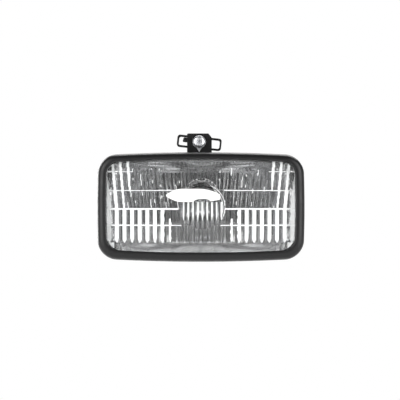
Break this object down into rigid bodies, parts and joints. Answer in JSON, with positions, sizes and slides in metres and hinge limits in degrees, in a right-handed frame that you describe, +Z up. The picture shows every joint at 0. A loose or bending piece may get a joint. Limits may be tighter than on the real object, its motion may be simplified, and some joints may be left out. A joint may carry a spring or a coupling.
{
  "type": "fog light",
  "caption": "Rectangular bumper fog light: fluted glass lens in a black bezel, mirror reflector with axial bulb, rear cap, tilting support arms and a top aim screw.",
  "frame": {"origin": "On the optical axis, in the plane of the bezel's rear edge, where the lamp sits in the bumper's opening", "axes": "+X to the right seen from the front, +Y rearwards along the optical axis, +Z up"},
  "size_m": [0.16, 0.0936, 0.0996],
  "materials": {
    "bezel_plastic": "black moulded, fine satin grain",
    "housing_plastic": "black moulded, matt",
    "lens_glass": "clear pressed glass, fluted on the inside",
    "mirror": "vacuum-metallised, polished",
    "bright_steel": "bright plated",
    "quartz": "clear quartz",
    "tungsten": "drawn wire, dull",
    "brass": "stamped, slightly dull",
    "zinc_steel": "clear zinc plated",
    "black_steel": "black coated, semi-matt",
    "nylon": "black moulded, faint sheen",
    "rubber": "soft, matt",
    "live_insulation": "dark red cable insulation",
    "ground_insulation": "brown cable insulation"
  },
  "bodies": {
    "lamp": {"bezel": "bezel_plastic", "housing": "housing_plastic", "lens": "lens_glass", "reflector": "mirror", "bulb_shield": "bright_steel", "bulb_base": "bright_steel", "bulb_capsule": "quartz", "bulb_filament": "tungsten", "bulb_terminal": "brass", "inlet_blade_live": "brass", "inlet_blade_ground": "brass", "tab_washer": "zinc_steel", "clip_hinge_plate": "zinc_steel", "clip_catch": "zinc_steel", "shield_rivet": "zinc_steel", "bracket_rivet_left": "zinc_steel", "bracket_rivet_right": "zinc_steel", "pivot_pin_left": "zinc_steel", "pivot_pin_right": "zinc_steel", "bezel_screw_top_left": "zinc_steel", "bezel_screw_top_right": "zinc_steel", "bezel_screw_bottom_left": "zinc_steel", "bezel_screw_bottom_right": "zinc_steel", "top_bracket": "black_steel", "inlet_shell": "nylon", "bulb_receptacle": "nylon", "lens_gasket": "rubber", "cap_seal": "rubber", "vent_cap": "rubber", "lead_live": "live_insulation", "lead_ground": "ground_insulation"},
    "rear_cap": {"rear_cap": "rubber"},
    "bulb_clip": {"bulb_clip": "zinc_steel"},
    "adjuster_screw": {"adjuster_screw": "zinc_steel", "retaining_ring": "zinc_steel"},
    "clip_nut": {"clip_nut": "nylon"},
    "left_support": {"support_arm_left": "nylon"},
    "right_support": {"support_arm_right": "nylon"}
  },
  "joints": [
    {"name": "aim_screw_turn", "type": "hinge", "parent": "lamp", "child": "adjuster_screw", "pos_m": [-0.0012, 0, 0.0508], "axis": [0, 1, 0], "range_deg": [-2165, 2165]},
    {"name": "clip_nut_travel", "type": "slide", "parent": "lamp", "child": "clip_nut", "axis": [0, 1, 0], "range_m": [-0.0048, 0.0048]},
    {"name": "left_arm_tilt", "type": "hinge", "parent": "lamp", "child": "left_support", "pos_m": [-0.0495, 0.019, -0.0384], "axis": [1, 0, 0], "range_deg": [-3.15, 3.15]},
    {"name": "right_arm_tilt", "type": "hinge", "parent": "lamp", "child": "right_support", "pos_m": [0.0495, 0.019, -0.0384], "axis": [1, 0, 0], "range_deg": [-3.15, 3.15]},
    {"name": "rear_cap_pull", "type": "slide", "parent": "lamp", "child": "rear_cap", "axis": [0, 1, 0], "range_m": [0, 0.045]},
    {"name": "bulb_clip_swing", "type": "hinge", "parent": "lamp", "child": "bulb_clip", "pos_m": [0, 0.0472, 0.0124], "axis": [1, 0, 0], "range_deg": [0, 75]}
  ],
  "couplings": [
    {"joint": "aim_screw_turn", "follows": "clip_nut_travel", "rad_per_m": -7854},
    {"joint": "left_arm_tilt", "follows": "clip_nut_travel", "rad_per_m": -11.211},
    {"joint": "right_arm_tilt", "follows": "clip_nut_travel", "rad_per_m": -11.211}
  ]
}
